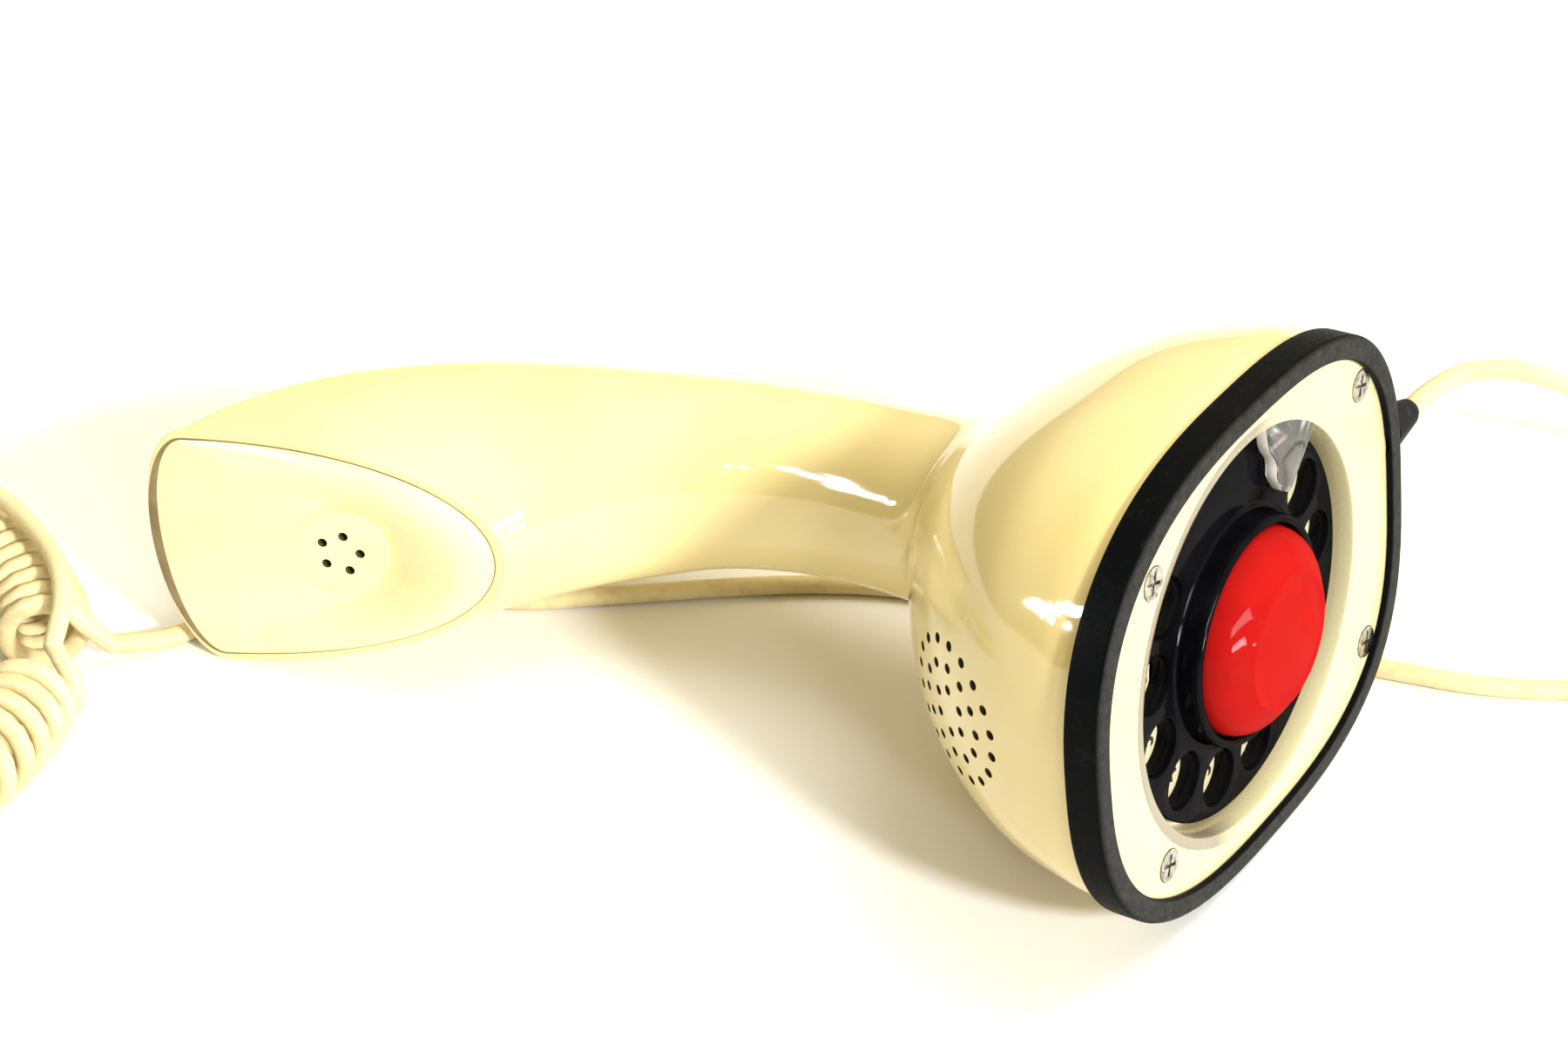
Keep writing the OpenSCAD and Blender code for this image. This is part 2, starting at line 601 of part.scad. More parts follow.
module cord_plug() {
    color([0.85, 0.87, 0.88]) translate([-206, -48, 0]) rotate(170) union() {
        translate([0, -plug_size[1] / 2, 0.01]) cube(plug_size);
        translate([2, -1.8, plug_size[2] - eps]) cube([8, 3.6, 1.2]);
    }
}

shell();
ear_cap();
receiver_gasket();
receiver_capsule();
receiver_holder();
microphone_capsule();
microphone_holder();
base_ring();
base_plate();
base_screws();
screw_posts();
number_plate();
finger_wheel();
main_gear();
main_spring();
finger_stop();
dial_frame();
dial_pillars();
dial_back_plate();
dial_screws();
button_guide();
hook_button();
plunger_rod();
plunger_spring();
hook_contacts();
pulse_shaft();
pulse_cam();
worm_wheel();
governor_worm();
governor_arms();
governor_cup();
governor_bracket();
pulse_contacts();
circuit_board();
board_posts();
transformer();
capacitor();
cord_grommet();
cord_lead();
cord_curl();
cord_tail();
cord_plug();
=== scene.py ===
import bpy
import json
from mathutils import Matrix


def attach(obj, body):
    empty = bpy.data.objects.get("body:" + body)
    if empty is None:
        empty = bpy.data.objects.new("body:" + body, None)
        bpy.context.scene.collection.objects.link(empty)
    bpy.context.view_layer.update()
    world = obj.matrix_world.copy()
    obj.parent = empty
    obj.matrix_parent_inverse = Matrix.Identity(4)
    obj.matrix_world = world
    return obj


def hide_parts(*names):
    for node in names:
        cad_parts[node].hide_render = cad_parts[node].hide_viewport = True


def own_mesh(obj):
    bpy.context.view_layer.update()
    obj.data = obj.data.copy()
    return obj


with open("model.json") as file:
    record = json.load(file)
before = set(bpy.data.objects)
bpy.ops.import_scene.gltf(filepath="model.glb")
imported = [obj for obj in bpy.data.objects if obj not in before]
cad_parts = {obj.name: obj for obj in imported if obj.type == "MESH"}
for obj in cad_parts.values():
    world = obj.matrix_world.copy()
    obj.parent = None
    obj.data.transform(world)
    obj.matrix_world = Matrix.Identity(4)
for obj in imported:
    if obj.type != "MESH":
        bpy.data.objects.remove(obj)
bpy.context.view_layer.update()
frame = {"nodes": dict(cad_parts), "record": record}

import json
import math
import bmesh
import bpy
from mathutils import Matrix, Vector

MM = 0.001
LEAN = math.radians(7.08)
ROLL = math.radians(2.0)
SHIFT = Vector((102.4, 7, 49.775)) * MM
LAY = (Matrix.Translation(SHIFT) @ Matrix.Rotation(-math.pi / 2 - LEAN, 4, "Y")
       @ Matrix.Rotation(ROLL, 4, "Z") @ Matrix.Scale(MM, 4))
BODY = "phone"


def add_object(name, data):
    thing = bpy.data.objects.new(name, data)
    bpy.context.scene.collection.objects.link(thing)
    return thing


# ---------------------------------------------------------------- camera
CAMERA_AT = (0.328192, -0.463485, 0.481157)
CAMERA_TURN = (51.92485, 1.08715, 34.40333)
LENS = 83.842


def make_camera():
    data = bpy.data.cameras.new("camera")
    data.lens = LENS
    data.sensor_width = 36
    data.clip_start = 0.01
    camera = add_object("camera", data)
    camera.location = CAMERA_AT
    camera.rotation_euler = [math.radians(a) for a in CAMERA_TURN]
    bpy.context.scene.camera = camera


# ---------------------------------------------------------------- node helpers
class Nodes:
    """A material's node tree, with short calls for the nodes used here."""

    def __init__(self, name):
        self.material = bpy.data.materials.new(name)
        self.material.use_nodes = True
        self.tree = self.material.node_tree
        self.shader = self.tree.nodes["Principled BSDF"]
        self.place = self.tree.nodes.new("ShaderNodeTexCoord").outputs["Object"]

    def link(self, a, b):
        self.tree.links.new(a, b)

    def noise(self, size, detail=3.0, rough=0.55, stretch=(1, 1, 1)):
        """A noise of about the given feature size in metres."""
        node = self.tree.nodes.new("ShaderNodeTexNoise")
        node.inputs["Scale"].default_value = 1 / size
        node.inputs["Detail"].default_value = detail
        node.inputs["Roughness"].default_value = rough
        mapping = self.tree.nodes.new("ShaderNodeMapping")
        mapping.inputs["Scale"].default_value = stretch
        self.link(self.place, mapping.inputs["Vector"])
        self.link(mapping.outputs["Vector"], node.inputs["Vector"])
        return node.outputs["Fac"]

    def spread(self, value, low, high, to_low=0.0, to_high=1.0):
        """Takes the range from low to high to the range from to_low to to_high."""
        node = self.tree.nodes.new("ShaderNodeMapRange")
        node.inputs["From Min"].default_value = low
        node.inputs["From Max"].default_value = high
        node.inputs["To Min"].default_value = to_low
        node.inputs["To Max"].default_value = to_high
        self.link(value, node.inputs["Value"])
        return node.outputs["Result"]

    def mix(self, amount, a, b):
        """Goes from colour a to colour b; each is a tuple or a socket."""
        node = self.tree.nodes.new("ShaderNodeMix")
        node.data_type = "RGBA"
        self.link(amount, node.inputs["Factor"])
        for value, socket in ((a, node.inputs[6]), (b, node.inputs[7])):
            if isinstance(value, tuple):
                socket.default_value = (*value, 1)
            else:
                self.link(value, socket)
        return node.outputs[2]

    def toward(self, vector, way):
        """How far a vector reaches along way."""
        node = self.tree.nodes.new("ShaderNodeVectorMath")
        node.operation = "DOT_PRODUCT"
        node.inputs[1].default_value = way
        self.link(vector, node.inputs[0])
        return node.outputs["Value"]

    def bump(self, height, distance, strength):
        node = self.tree.nodes.new("ShaderNodeBump")
        node.inputs["Distance"].default_value = distance
        node.inputs["Strength"].default_value = strength
        self.link(height, node.inputs["Height"])
        self.link(node.outputs["Normal"], self.shader.inputs["Normal"])

    def set(self, **values):
        """Sets the shader's own constants."""
        for name, value in values.items():
            self.shader.inputs[name.replace("_", " ")].default_value = value

    def use(self, **sockets):
        """Links sockets to the shader."""
        for name, socket in sockets.items():
            self.link(socket, self.shader.inputs[name.replace("_", " ")])

    def moulded_skin(self, rough):
        """The marks that handling leaves on moulded plastic, and its faint waviness."""
        self.use(Roughness=self.spread(self.noise(0.006, 5, 0.65), 0.3, 0.75, *rough))
        self.bump(self.noise(0.0035, 4), 0.00002, 0.6)


def moulded(name, base, aged, dirt=None, rough=(0.12, 0.25), blotch=0.045, shine=0.5, coat=0.25):
    """Glossy moulded plastic that has yellowed unevenly, with faint handling marks."""
    m = Nodes(name)
    colour = m.mix(m.spread(m.noise(blotch, 2), 0.35, 0.7), base, aged)
    if dirt:
        specks = m.spread(m.noise(0.0016, 5, 0.7), 0.71, 0.77)
        colour = m.mix(specks, colour, dirt)
    m.use(Base_Color=colour)
    m.moulded_skin(rough)
    m.set(IOR=1.5, Specular_IOR_Level=shine, Coat_Weight=coat, Coat_Roughness=0.03)
    return m.material


# The well's tan is painted shade; it fades in between these distances.
WELL_SHADE_FADE = (0.0422, 0.0408)  # distances from the dial's axis, in metres


def plate_with_well_shade(name, base, aged, well_shade):
    """The cream plate, whose sunk part is painted tan as shade: the painted shade starts at the rim of
    the well.
    """
    m = Nodes(name)
    upright = m.tree.nodes.new("ShaderNodeMapping")
    back = (LAY @ Matrix.Scale(1 / MM, 4)).inverted()
    upright.inputs["Location"].default_value = back.to_translation()
    upright.inputs["Rotation"].default_value = back.to_euler()
    m.link(m.place, upright.inputs["Vector"])
    flat = m.tree.nodes.new("ShaderNodeVectorMath")
    flat.operation = "MULTIPLY"
    flat.inputs[1].default_value = (1, 1, 0)
    m.link(upright.outputs["Vector"], flat.inputs[0])
    reach = m.tree.nodes.new("ShaderNodeVectorMath")
    reach.operation = "LENGTH"
    m.link(flat.outputs["Vector"], reach.inputs[0])
    # The sunk part's tan is painted shade.
    sunk = m.spread(reach.outputs["Value"], *WELL_SHADE_FADE)
    m.use(Base_Color=m.mix(sunk, m.mix(m.spread(m.noise(0.03, 2), 0.35, 0.7), base, aged), well_shade))
    m.moulded_skin((0.15, 0.3))
    m.set(IOR=1.5, Coat_Weight=0.25, Coat_Roughness=0.03)
    return m.material


# The lit side of the lip, in the row frame, and the distances that way, in metres, over which
# its painted shade fades out
LIT_WAY, SHADE_FADE = (0, 1, -0.3), (-0.015, -0.004)


def shaded_one_side(name, shaded, lit):
    """Plastic painted darker on one side, the side towards -y and up, as painted shade that fades out
    beyond it.
    """
    m = Nodes(name)
    across = m.spread(m.toward(m.place, LIT_WAY), *SHADE_FADE)
    patches = m.mix(m.spread(m.noise(0.008, 4), 0.3, 0.75), shaded, tuple(0.9 * c for c in shaded))
    m.use(Base_Color=m.mix(across, patches, lit))
    m.moulded_skin((0.2, 0.35))
    m.set(IOR=1.5, Coat_Weight=0.1, Coat_Roughness=0.05)
    return m.material


def rubber(name, base, dust, dusty_way=None):
    """Matt rubber; faces that look along the given way are painted lighter, partly as a film of dust
    and partly as painted light.
    """
    m = Nodes(name)
    fine = m.noise(0.0006, 3, 0.6)
    marks = m.spread(m.noise(0.004, 6, 0.75), 0.55, 0.85)
    colour = m.mix(marks, base, dust)
    if dusty_way:
        normal = m.tree.nodes.new("ShaderNodeNewGeometry").outputs["Normal"]
        dust_and_light = tuple(3.2 * c for c in dust)
        film = m.mix(m.spread(m.noise(0.0018, 6, 0.8), 0.35, 0.75), dust, dust_and_light)
        colour = m.mix(m.spread(m.toward(normal, dusty_way), 0.6, 0.97), colour, film)
    m.use(Base_Color=colour, Roughness=m.spread(fine, 0.3, 0.7, 0.42, 0.62))
    m.bump(fine, 0.00006, 0.5)
    m.set(IOR=1.45, Specular_IOR_Level=0.05)
    return m.material


def metal(name, colour, dull, rough=(0.2, 0.45), grain=0.006):
    """Drawn metal, dulled in patches of about the grain's size."""
    m = Nodes(name)
    brushed = m.noise(0.0015, 4, 0.6, stretch=(1, 1, 14))
    m.use(Base_Color=m.mix(m.spread(m.noise(grain), 0.4, 0.7), colour, dull),
          Roughness=m.spread(brushed, 0.3, 0.7, *rough))
    m.bump(brushed, 0.00002, 0.5)
    m.set(Metallic=1.0)
    return m.material


def clear(name, tint, smudge, bump=0.00004, shine=0.5):
    """Clear plastic with smudges."""
    m = Nodes(name)
    m.use(Base_Color=m.mix(m.spread(m.noise(0.005), 0.4, 0.75), tint, smudge),
          Roughness=m.spread(m.noise(0.0025, 5, 0.7), 0.35, 0.75, 0.03, 0.16))
    m.bump(m.noise(0.002, 4), bump, 0.5)
    m.set(IOR=1.49, Transmission_Weight=0.97, Specular_IOR_Level=shine)
    return m.material


def cord_skin(name):
    """The cord's yellowed sheath, with brown stains."""
    m = Nodes(name)
    stains = m.spread(m.noise(0.007, 6, 0.75), 0.48, 0.8)
    colour = m.mix(m.spread(m.noise(0.03, 3), 0.3, 0.7), (0.74, 0.64, 0.36), (0.67, 0.55, 0.27))
    m.use(Base_Color=m.mix(stains, colour, (0.50, 0.37, 0.17)),
          Roughness=m.spread(m.noise(0.003, 4), 0.3, 0.7, 0.32, 0.5))
    m.bump(m.noise(0.0012, 4), 0.00008, 0.5)
    m.set(IOR=1.48)
    return m.material


def make_materials():
    shop = {}

    def add(kind, name, *colours, **finish):
        shop[name] = kind(name, *colours, **finish)

    add(moulded, "shell_ivory", (0.86, 0.725, 0.35), (0.83, 0.66, 0.27), (0.42, 0.32, 0.16),
        rough=(0.06, 0.12), blotch=0.05, coat=0.4)
    add(moulded, "cap_cream", (0.85, 0.77, 0.44), (0.82, 0.72, 0.36), rough=(0.2, 0.34), blotch=0.02)
    add(moulded, "dial_cream", (0.70, 0.645, 0.41), (0.67, 0.60, 0.36), rough=(0.15, 0.3), blotch=0.03)
    # The plate's cream is its own colour painted darker, as shade.
    add(plate_with_well_shade, "plate_cream_shaded", (0.61, 0.56, 0.325), (0.57, 0.51, 0.285), (0.61, 0.53, 0.30))
    # The lip's near side is painted tan as shade.
    add(shaded_one_side, "lip_painted_shade", (0.27, 0.235, 0.165), (0.61, 0.56, 0.325))
    # The dark line in the cap's joint is painted shade.
    add(moulded, "seam_painted_shade", (0.20, 0.15, 0.075), (0.30, 0.225, 0.11),
        rough=(0.4, 0.6), blotch=0.008, shine=0.2, coat=0.0)
    # Dark brown on the cut walls of the holes and the cord's bore: painted shade.
    add(moulded, "hole_painted_shade", (0.11, 0.085, 0.035), (0.07, 0.055, 0.025),
        rough=(0.4, 0.6), blotch=0.002, shine=0.2, coat=0.0)
    add(moulded, "button_red", (0.35, 0.007, 0.006), (0.31, 0.006, 0.005),
        rough=(0.2, 0.3), blotch=0.01, shine=0.0, coat=0.06)
    add(moulded, "dial_black", (0.002, 0.002, 0.003), (0.005, 0.005, 0.006), (0.04, 0.04, 0.035),
        rough=(0.1, 0.22), blotch=0.01, shine=0.0, coat=0.09)
    add(moulded, "inner_black", (0.012, 0.012, 0.014), (0.02, 0.02, 0.021),
        rough=(0.3, 0.5), blotch=0.01)
    # The ring's foot face is painted lighter: partly dust, partly painted light.
    add(rubber, "ring_rubber", (0.0015, 0.002, 0.0025), (0.013, 0.013, 0.012),
        dusty_way=tuple(LAY.to_3x3() @ Vector((0, 0, -1 / MM))))
    add(rubber, "cord_dark", (0.012, 0.012, 0.014), (0.05, 0.048, 0.045))
    add(clear, "clear_plastic", (0.90, 0.91, 0.90), (0.8, 0.8, 0.78))
    add(clear, "stop_clear", (0.50, 0.51, 0.50), (0.30, 0.30, 0.29), bump=0.00001, shine=0.3)
    # A whitish band on the stop's hooked side: painted light, standing in for light carried through the
    # clear plastic.
    add(moulded, "edge_painted_glow", (0.96, 0.93, 0.84), (0.80, 0.77, 0.66),
        rough=(0.12, 0.3), blotch=0.003)
    add(metal, "screw_steel", (0.60, 0.58, 0.53), (0.13, 0.115, 0.09), rough=(0.12, 0.3), grain=0.0011)
    add(metal, "steel", (0.62, 0.61, 0.59), (0.42, 0.40, 0.36))
    add(metal, "spring_steel", (0.45, 0.45, 0.47), (0.3, 0.3, 0.31))
    add(metal, "brass", (0.70, 0.50, 0.20), (0.45, 0.31, 0.14))
    add(metal, "contact_bronze", (0.55, 0.33, 0.16), (0.4, 0.25, 0.13))
    add(moulded, "fibre_brown", (0.12, 0.05, 0.02), (0.16, 0.075, 0.03),
        rough=(0.4, 0.6), blotch=0.004)
    add(moulded, "board_green", (0.05, 0.15, 0.06), (0.07, 0.17, 0.06),
        rough=(0.3, 0.5), blotch=0.01)
    add(moulded, "part_grey", (0.14, 0.14, 0.16), (0.2, 0.2, 0.21), rough=(0.4, 0.6), blotch=0.005)
    add(moulded, "part_ochre", (0.5, 0.28, 0.06), (0.42, 0.24, 0.07), rough=(0.25, 0.4), blotch=0.006)
    add(cord_skin, "cord_ivory")
    add(moulded, "print_black", (0.01, 0.01, 0.01), (0.03, 0.03, 0.03),
        rough=(0.4, 0.55), blotch=0.002)
    return shop


# ---------------------------------------------------------------- mesh helpers
def smooth(mesh, angle):
    for face in mesh.polygons:
        face.use_smooth = True
    mesh.set_sharp_from_angle(angle=math.radians(angle))


def settle(name, work, material, body=BODY, angle=35, place=LAY):
    """Puts a bmesh in the phone's own frame into the row frame, as a piece."""
    bmesh.ops.recalc_face_normals(work, faces=work.faces)
    mesh = bpy.data.meshes.new(name)
    work.to_mesh(mesh)
    work.free()
    mesh.transform(place)
    smooth(mesh, angle)
    mesh.materials.append(shop[material])
    piece = add_object(name, mesh)
    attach(piece, body)
    return piece


def loft(rings, closed=False):
    """A bmesh over rings of points: closed joins the last ring to the first, else both ends fill."""
    work = bmesh.new()
    loops = [[work.verts.new(p) for p in ring] for ring in rings]
    count = len(loops[0])
    pairs = list(zip(loops, loops[1:]))
    if closed:
        pairs.append((loops[-1], loops[0]))
    for a, b in pairs:
        for k in range(count):
            n = (k + 1) % count
            work.faces.new((a[k], a[n], b[n], b[k]))
    if not closed:
        work.faces.new(loops[0])
        work.faces.new(loops[-1])
    return work


def lathe(profile, around):
    """Turns a profile of (radius, z) round z. It is closed, or starts and ends at radius 0."""
    work = bmesh.new()
    rows = []
    for r, z in profile:
        if r <= 0:
            rows.append([work.verts.new((0, 0, z))])
        else:
            rows.append([work.verts.new((r * math.cos(t), r * math.sin(t), z))
                         for t in (2 * math.pi * k / around for k in range(around))])
    pairs = list(zip(rows, rows[1:]))
    if len(rows[0]) > 1:
        pairs.append((rows[-1], rows[0]))
    for a, b in pairs:
        for k in range(around):
            n = (k + 1) % around
            corners = [a[k % len(a)], a[n % len(a)], b[n % len(b)], b[k % len(b)]]
            face = [v for i, v in enumerate(corners) if v not in corners[:i]]
            if len(face) > 2:
                work.faces.new(face)
    return work


def rounded(points, radius, steps=4):
    """Rounds each corner of an open outline whose points are (a, b, keep sharp?)."""
    out = []
    for i, p in enumerate(points):
        here = Vector(p[:2])
        if i in (0, len(points) - 1) or len(p) > 2:
            out.append(tuple(here))
            continue
        back = Vector(points[i - 1][:2]) - here
        ahead = Vector(points[i + 1][:2]) - here
        r = min(radius, back.length * 0.45, ahead.length * 0.45)
        a = here + back.normalized() * r
        b = here + ahead.normalized() * r
        for s in range(steps + 1):
            t = s / steps
            out.append(tuple(a * (1 - t) ** 2 + here * 2 * t * (1 - t) + b * t ** 2))
    return out


def evaluated_mesh(thing):
    depsgraph = bpy.context.evaluated_depsgraph_get()
    depsgraph.update()
    return bpy.data.meshes.new_from_object(thing.evaluated_get(depsgraph))


def apply_modifiers(piece, angle):
    """Makes the modified mesh the piece's own, smooth up to angle degrees."""
    fresh = evaluated_mesh(piece)
    piece.modifiers.clear()
    piece.data = fresh
    smooth(piece.data, angle)


def carve(piece, tool, angle):
    """Takes the tool out of the piece, and drops it."""
    cut = piece.modifiers.new("cut", "BOOLEAN")
    cut.object = tool
    cut.operation = "DIFFERENCE"
    cut.solver = "EXACT"
    apply_modifiers(piece, angle)
    bpy.data.objects.remove(tool)


def soften(piece, width, from_angle, angle):
    """A small round along the sharp edges, as moulding leaves."""
    bevel = piece.modifiers.new("round", "BEVEL")
    bevel.width = width
    bevel.segments = 2
    bevel.limit_method = "ANGLE"
    bevel.angle_limit = math.radians(from_angle)
    bevel.harden_normals = False
    apply_modifiers(piece, angle)


def cutter(work, finish=0):
    """A carving tool; finish is the material slot that its cut walls take."""
    for face in work.faces:
        face.material_index = finish
    mesh = bpy.data.meshes.new("cutter")
    bmesh.ops.recalc_face_normals(work, faces=work.faces)
    work.to_mesh(mesh)
    work.free()
    mesh.transform(LAY)
    return add_object("cutter", mesh)


def frame_at(centre, tip):
    """The frame of a face set at centre and tipped about x by tip degrees."""
    return Matrix.Translation(centre) @ Matrix.Rotation(math.radians(tip), 4, "X")


# ---------------------------------------------------------------- the shell's form
AROUND = 128
RING_W, FRONT_REACH, REAR_REACH = 97.8, 58.1, 57.3
RING_REAR_SQUARE, RING_FRONT_SQUARE = 2.9, 2.5
RING_H = 7.1
FOOT_INSET, FOOT_Z = 1.35, 3  # the shell's foot, which the ring clasps
WALL = 3
RIM_T = 1.6
# Rear y and z, front y and z, half width, where the widest line lies from rear to front,
# squareness at the rear and at the front
SECTIONS = [
    [57.0, 7.1, -56.4, 7.1, 48.3, 0.497, 2.85, 2.5],
    [57.4, 16, -55.2, 16, 48.0, 0.497, 2.75, 2.5],
    [54.2, 30, -51, 30, 45.2, 0.5, 2.6, 2.5],
    [48.5, 43, -43.5, 43.5, 39.0, 0.5, 2.5, 2.45],
    [41, 54, -33.5, 54.5, 31.5, 0.5, 2.4, 2.4],
    [34, 63, -21.5, 63.5, 24.0, 0.5, 2.3, 2.35],
    [29.5, 72, -11.3, 70, 19.2, 0.5, 2.2, 2.2],
    [27.5, 84, -8.7, 81, 18.0, 0.5, 2.2, 2.2],
    [25, 103, -9.5, 100, 18.2, 0.5, 2.2, 2.2],
    [21.3, 122, -14.5, 117, 19, 0.5, 2.2, 2.2],
    [16, 140, -23, 129, 20.4, 0.5, 2.2, 2.2],
    [7, 160, -31, 137, 22.4, 0.45, 2.15, 2.15],
    [-8, 181, -37, 141.5, 24.6, 0.36, 2.1, 2.1],
    [-30, 200, -41, 143.5, 26.3, 0.26, 2.1, 2.1],
    [-52, 210, -43, 144.5, 27.2, 0.19, 2.05, 2.05],
    [-71.4, 213.3, -43.8, 144.8, 27.3, 0.15, 2.05, 2.05]]
TOP = len(SECTIONS) - 1
STEPS = 8


def spow(value, power):
    """A power that keeps the sign."""
    return math.copysign(abs(value) ** power, value)


def oval(t, half_w, rear, front, n_rear, n_front):
    """The point at angle t of an oval that grows squarer with n."""
    n, reach = (n_rear, rear) if math.sin(t) > 0 else (n_front, front)
    return half_w * spow(math.cos(t), 2 / n), reach * spow(math.sin(t), 2 / n)


def turns():
    return [2 * math.pi * k / AROUND for k in range(AROUND)]


def spline(a, b, c, d, t):
    """The smooth curve from b to c at share t, with a before it and d after it."""
    return 0.5 * (2 * b + (c - a) * t + (2 * a - 5 * b + 4 * c - d) * t * t
                  + (3 * b - a - 3 * c + d) * t ** 3)


def along(rows, u):
    """The row at place u on the smooth curve through all rows."""
    last = len(rows) - 1
    i = min(int(u), last - 1)
    p, q = rows[i], rows[i + 1]
    a = rows[i - 1] if i > 0 else [2 * x - y for x, y in zip(p, q)]
    d = rows[i + 2] if i < last - 1 else [2 * y - x for x, y in zip(p, q)]
    return [spline(*each, u - i) for each in zip(a, p, q, d)]


def section_ring(s, inset, lift=0.0):
    """The ring of a section of the shell, drawn inwards by inset and raised off its plane by lift."""
    rear, front = Vector((0, s[0], s[1])), Vector((0, s[2], s[3]))
    half_w, widest_at, rear_square, front_square = s[4:]
    way = (front - rear).normalized()
    mid = rear + (front - rear) * widest_at
    out = Vector((0, way.z, -way.y))
    ring = []
    for t in turns():
        x, y = oval(t, half_w - inset, (mid - rear).length - inset, (front - mid).length - inset,
                    rear_square, front_square)
        ring.append(mid + Vector((x, 0, 0)) - way * y + out * lift)
    return ring


def outline(inset, z):
    """The ring of the base's outline, drawn inwards by inset."""
    ring = []
    for t in turns():
        x, y = oval(t, RING_W / 2 - inset, REAR_REACH - inset, FRONT_REACH - inset,
                    RING_REAR_SQUARE, RING_FRONT_SQUARE)
        ring.append(Vector((x, y, z)))
    return ring


MIC = frame_at((0, -46, 37.7), 60)
MIC_ROWS = [(4.6, 6), (9.2, 12), (13.8, 18)]  # radius and number of holes
MIC_HOLE_R, MIC_FROM, MIC_TO = 1, -9, 7
EAR = frame_at((0, -67.3, 203), 112)
EAR_DROP = -28.9  # from the ear cap's frame to the middle of its sound holes
INLET_X, INLET_Y, INLET_Z = 11, 45, 3.3
INLET_R, INLET_LENGTH = 2.95, 30


def pin(at, radius, low, high, sides=24):
    """A plain round pin along z of the frame at, as a bmesh."""
    work = bmesh.new()
    bmesh.ops.create_cone(work, cap_ends=True, segments=sides, radius1=radius, radius2=radius,
                          depth=high - low, matrix=Matrix.Translation((0, 0, (low + high) / 2)))
    work.transform(at)
    return work


def inlet_pin():
    """The bore at the rear that the cord's boot fills."""
    at = Matrix.Translation((INLET_X, INLET_Y, INLET_Z)) @ Matrix.Rotation(-math.pi / 2, 4, "X")
    return pin(at, INLET_R, 0, INLET_LENGTH, 48)


def merged(works):
    whole = bmesh.new()
    for work in works:
        mesh = bpy.data.meshes.new("part")
        work.to_mesh(mesh)
        work.free()
        whole.from_mesh(mesh)
        bpy.data.meshes.remove(mesh)
    return whole


# Inset and lift of the rings that round off the rim which holds the ear cap
RIM_PROFILE = [(0, -0.3), (0.08, -0.1), (0.3, 0), (RIM_T - 0.25, 0), (RIM_T - 0.05, -0.08),
               (RIM_T, -0.3)]
CAP_SEAT = TOP - 0.35
INNER_STEPS = 2
INNER_FOOT_INSET, INNER_FOOT_Z = 3.9, 4.2


def make_shell():
    rings = [outline(FOOT_INSET, FOOT_Z), outline(FOOT_INSET, RING_H)]
    rings += [section_ring(along(SECTIONS, j / STEPS), 0) for j in range(TOP * STEPS)]
    rings += [section_ring(SECTIONS[-1], inset, lift) for inset, lift in RIM_PROFILE]
    rings.append(section_ring(along(SECTIONS, CAP_SEAT), RIM_T))
    for j in range(TOP * INNER_STEPS - 1, -1, -1):
        u = j / INNER_STEPS
        inset = RIM_T + (WALL - RIM_T) * max(0, min(1, (TOP - 1 - u) / 2))
        rings.append(section_ring(along(SECTIONS, u), inset))
    rings += [outline(INNER_FOOT_INSET, INNER_FOOT_Z), outline(INNER_FOOT_INSET, FOOT_Z)]
    shell = settle("shell_moulding", loft(rings, closed=True), "shell_ivory", angle=40)
    holes = [pin(MIC @ Matrix.Rotation(2 * math.pi * k / count, 4, "Z")
                 @ Matrix.Translation((radius, 0, 0)), MIC_HOLE_R, MIC_FROM, MIC_TO)
             for radius, count in MIC_ROWS for k in range(count)]
    # The cut walls of the sound holes and the cord's bore take painted shade.
    shell.data.materials.append(shop["hole_painted_shade"])
    carve(shell, cutter(merged(holes + [inlet_pin()]), 1), 40)
    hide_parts("shell")


# ---------------------------------------------------------------- ear cap
CAP_GAP = 0.15
RIM_W, RIM_TOP, RIM_LOW = 27.3, 11.1, 62.8  # reach of the shell's rim from its widest line
CAP_W = RIM_W - RIM_T - CAP_GAP
CAP_TOP = RIM_TOP - RIM_T - CAP_GAP
CAP_LOW = RIM_LOW - RIM_T - CAP_GAP
CAP_SQUARE = 2.05
CAP_T = 2.6
BACK_IN, BACK_SLOPE = 0.9, 0.64  # how far the cap's back draws in at its sides and its top
CAP_RINGS = 32
CAP_RINGS_TO, CAP_BUNCH = 0.975, 1.3  # the share that these rings reach, closer at the edge
DISC_R = 9.8
EAR_HOLES, EAR_HOLE_TURN = 5, 55
EAR_HOLE_RING, EAR_HOLE_R, EAR_HOLE_FROM, EAR_HOLE_TO = 4.17, 1, -6, 5
LIP_H, HOLLOW_D = 3.4, 1.7
# Shares of the way from the cap's edge to its disc: the ridge's crest, and the disc's foot
RIDGE_AT, DISC_FOOT = 0.3, 0.982


def cap_rise(s):
    """Height over the cap's face from its edge (0) to the sound disc (1): ridge, then hollow."""
    if s < RIDGE_AT:
        return LIP_H * math.sin(math.pi / 2 * (s / RIDGE_AT) ** 0.8)
    if s > DISC_FOOT:
        return -HOLLOW_D * min(1, (1 - s) / (1 - DISC_FOOT))
    up = (DISC_FOOT - s) / (DISC_FOOT - RIDGE_AT)
    return -HOLLOW_D + (LIP_H + HOLLOW_D) * (1 - (1 - up) ** 1.3)


def cap_outline(t, grow=0.0):
    return oval(t, CAP_W + grow, CAP_TOP + grow, CAP_LOW + grow, CAP_SQUARE, CAP_SQUARE)


def cap_ring(s, lift=0.0):
    """The cap's ring at share s of the way from its edge to its disc, flat at the upper end."""
    ring = []
    for t in turns():
        x, y = cap_outline(t)
        qx, qy = DISC_R * math.cos(t), EAR_DROP + DISC_R * math.sin(t)
        low = ((1 - math.sin(t)) / 2) ** 1.2
        ring.append(Vector((x + (qx - x) * s, y + (qy - y) * s, low * cap_rise(s) + lift)))
    return ring


